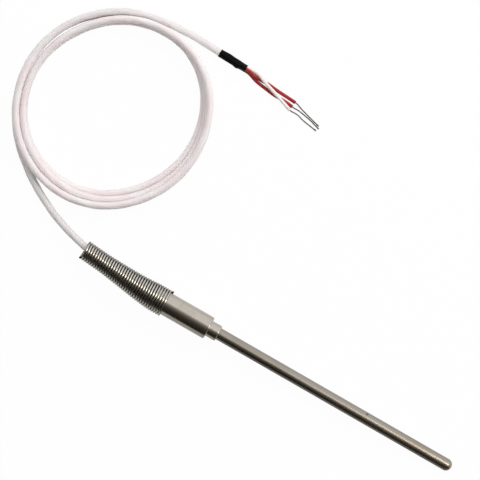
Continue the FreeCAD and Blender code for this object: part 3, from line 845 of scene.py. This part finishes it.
lead_materials = {
    "red": lead_skin("red lead insulation", (0.39, 0.011, 0.015), (0.315, 0.008, 0.011)),
    "white": lead_skin("white lead insulation", (0.9, 0.855, 0.825), (0.87, 0.79, 0.745)),
}
tin = strand_tin()
for colour, (angle, lead_points, bare_points) in LEADS.items():
    angle = math.radians(angle)
    start = jacket_end + LEAD_CIRCLE * (math.cos(angle) * bundle_side + math.sin(angle) * bundle_up)
    route = np.concatenate([[start, start + LEAD_STRAIGHT * bundle_ahead], on_table(lead_points)])
    line, run = laid_line(f"lead_{colour}_route", route, LEAD_STEP)
    straight_on = route[-1] + unit(route[-1] - route[-2]) * BARE_STRAIGHT
    bare_route = np.concatenate([[route[-1], straight_on], on_table(bare_points)])
    bare_line, bare_run = laid_line(f"lead_end_{colour}_route", bare_route, STRAND_STEP)
    tone = colour.split("_")[0]
    piece = insulated_lead(f"lead_{colour}", line, run, lead_materials[tone])
    strands = stripped_end(f"lead_end_{colour}", bare_line, bare_run, tin)

# Pieces inside the probe: a finish for each kind by the start of its name, and the last one for the
# wires and their welds
inner_finishes = {
    "sensing_element": inner_finish("glazed element", (0.84, 0.82, 0.77), (0.78, 0.75, 0.70), 900.0,
                                    0.12),
    "insulator_bead": inner_finish("fired bead", (0.88, 0.86, 0.82), (0.80, 0.78, 0.74), 1500.0, 0.5),
    "tip_cement": inner_finish("set cement", (0.78, 0.76, 0.72), (0.62, 0.60, 0.56), 1800.0, 0.7),
    "splice_ferrule": inner_finish("tinned ferrule", (0.72, 0.70, 0.66), (0.58, 0.55, 0.50), 1200.0,
                                   0.25, metallic=1.0),
    "splice_tube": inner_finish("amber splice tube", (0.62, 0.36, 0.10), (0.52, 0.28, 0.07), 700.0, 0.2),
    "cable_core": inner_finish("core insulation", (0.80, 0.56, 0.54), (0.70, 0.44, 0.43), 900.0, 0.35),
    "potting": inner_finish("cast resin", (0.10, 0.09, 0.08), (0.06, 0.055, 0.05), 600.0, 0.18),
    "": inner_finish("plated inner wire", (0.66, 0.63, 0.58), (0.56, 0.53, 0.48), 1600.0, 0.22,
                     metallic=1.0),
}
for name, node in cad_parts.items():
    if not node.hide_render:
        finish = next(finish for start, finish in inner_finishes.items() if name.startswith(start))
        node.data.materials.clear()
        node.data.materials.append(finish)


# Table, light and camera

def stand(name, points, faces, material):
    """A plain sheet that stands for the surroundings."""
    mesh = bpy.data.meshes.new(name)
    mesh.from_pydata(np.asarray(points).tolist(), [], np.asarray(faces).tolist())
    mesh.materials.append(material)
    sheet = bpy.data.objects.new(name, mesh)
    bpy.context.collection.objects.link(sheet)
    return sheet


def table_white():
    """A white that the camera and mirrors see near pure, and that keeps a soft shadow."""
    finish = Finish("white table", Roughness=1.0, Specular_IOR_Level=0.0, Base_Color=(0.9, 0.9, 0.9))
    glow = Shade.made(finish.tree, "ShaderNodeEmission", {}, {"Color": (1.0, 1.0, 1.0, 1.0)})
    lit = {0: seen_directly(finish.tree) * TABLE_GLOW, 1: Shade(finish.shader.outputs[0]), 2: glow}
    mixed = Shade.made(finish.tree, "ShaderNodeMixShader", {}, lit)
    finish.tree.links.new(mixed.socket, finish.tree.nodes["Material Output"].inputs["Surface"])
    return finish.material


def screen_grey():
    """What the metal mirrors, glowing sheets that only it sees: light grey overhead that falls off to
    near black lower down, and on the table greys, painted reflections of the table with painted shade,
    that are paler on the window's side and change beside the nose and the spring."""
    finish = Finish("dark screen", Roughness=1.0, Specular_IOR_Level=0.0, Base_Color=(0.0, 0.0, 0.0))
    along, across, up = finish.parts(finish.place(), "XYZ")
    overhead = ((across * 3.0).exp() * 0.26).tint((0.014, 0.0118, 0.007), (1.0, 0.95, 0.87))
    shaded = along.rise(*BESIDE_NOSE).tint((0.34, 0.335, 0.32), (0.5, 0.495, 0.475))
    lit = along.rise(*BESIDE_SPRING).tint((0.82, 0.81, 0.79), (0.5, 0.49, 0.47))
    below = across.rise(-0.002, 0.002).tint(shaded, lit)
    finish.put("Emission Color", up.rise(0.02, 0.002).tint(overhead, below))
    finish.put("Emission Strength", 1.0)
    return finish.material


def mirrored_sheet(name, profile, material, reach, shades):
    """A long sheet along the probe with a profile of places across and up. The metal mirrors it, the
    camera does not see it, and it shades the light or lets it through."""
    count = len(profile)
    points = [(x, *point) for x in (-reach, reach) for point in profile]
    step = np.arange(count - 1)
    faces = np.column_stack([step, step + 1, step + 1 + count, step + count])
    sheet = stand(name, points, faces, material)
    sheet.visible_camera = sheet.visible_transmission = False
    sheet.visible_diffuse = sheet.visible_shadow = shades


def screen_profile(first, reach):
    """A screen on the side away from the window: an arc about the probe, from an angle off overhead
    down to the table."""
    angle = np.radians(np.linspace(first, SCREEN_FOOT, SCREEN_POINTS))
    return np.column_stack([-reach * np.sin(angle), reach * np.cos(angle)])


def card_profile(first, last):
    """A card just over the table, from one place across to another: a painted reflection of the table.
    """
    return [(first, CARD_HEIGHT), (last, CARD_HEIGHT)]


def lamp(name, place, aim, size, power, colour, mirrored):
    """A soft rectangular lamp of one colour at a place, turned to a point; power in watts. It lights,
    or it only shows in the metal."""
    light = bpy.data.lights.new(name, "AREA")
    light.shape = "RECTANGLE"
    light.size, light.size_y = size
    light.energy = power
    light.color = colour
    holder = bpy.data.objects.new(name, light)
    bpy.context.collection.objects.link(holder)
    holder.location = place
    holder.rotation_euler = (Vector(aim) - Vector(place)).to_track_quat("-Z", "Y").to_euler()
    holder.visible_camera = False
    holder.visible_glossy = mirrored
    holder.visible_diffuse = not mirrored


table_sides = ((-1, -1), (1, -1), (1, 1), (-1, 1))
table_corners = [(x * TABLE_REACH, y * TABLE_REACH, -TABLE_DROP) for x, y in table_sides]
stand("table", table_corners, [(0, 1, 2, 3)], table_white())
surroundings = screen_grey()
for name, profile, reach, shades in (
    ("dark_screen", screen_profile(SCREEN_TOP, SCREEN_REACH), TABLE_REACH, False),
    ("dark_wall", screen_profile(WALL_TOP, WALL_REACH), WALL_LENGTH, True),
    # Cards that stand for the table in the metal: painted reflections, darker where the table lies in
    # shade
    ("dark_card", card_profile(-SCREEN_REACH, -CARD_GAP), TABLE_REACH, False),
    ("grey_card", card_profile(CARD_GAP, CARD_FAR), TABLE_REACH, False),
):
    mirrored_sheet(name, profile, surroundings, reach, shades)
lamp("window", place=(0.1, 1.0, 1.0), aim=(-0.03, 0.04, 0.0), size=(0.9, 0.9), power=7.6,
     colour=(1.0, 1.0, 1.0), mirrored=False)
lamp("softbox", place=(0.56, 0.33, 0.9), aim=(0.56, 0.0, 0.0), size=(0.5, 0.38), power=4.8,
     colour=(1.0, 0.9, 0.72), mirrored=True)

world = bpy.data.worlds.new("room")
bpy.context.scene.world = world
world.use_nodes = True
sky = world.node_tree.nodes["Background"]
sky.inputs["Color"].default_value = (1.0, 1.0, 1.0, 1.0)
sky_strength = ROOM_LIGHT + seen_directly(world.node_tree) * (1 - ROOM_LIGHT)
world.node_tree.links.new(sky_strength.socket, sky.inputs["Strength"])

camera = bpy.data.objects.new("camera", bpy.data.cameras.new("camera"))
bpy.context.collection.objects.link(camera)
camera.data.lens = 200.0
camera.data.sensor_width = 36.0
camera.location = (-0.0402, 0.0444, 1.2939)
camera.rotation_euler = (0.0, 0.0, math.radians(29.93))
bpy.context.scene.camera = camera
bpy.context.scene.view_settings.view_transform = "Standard"
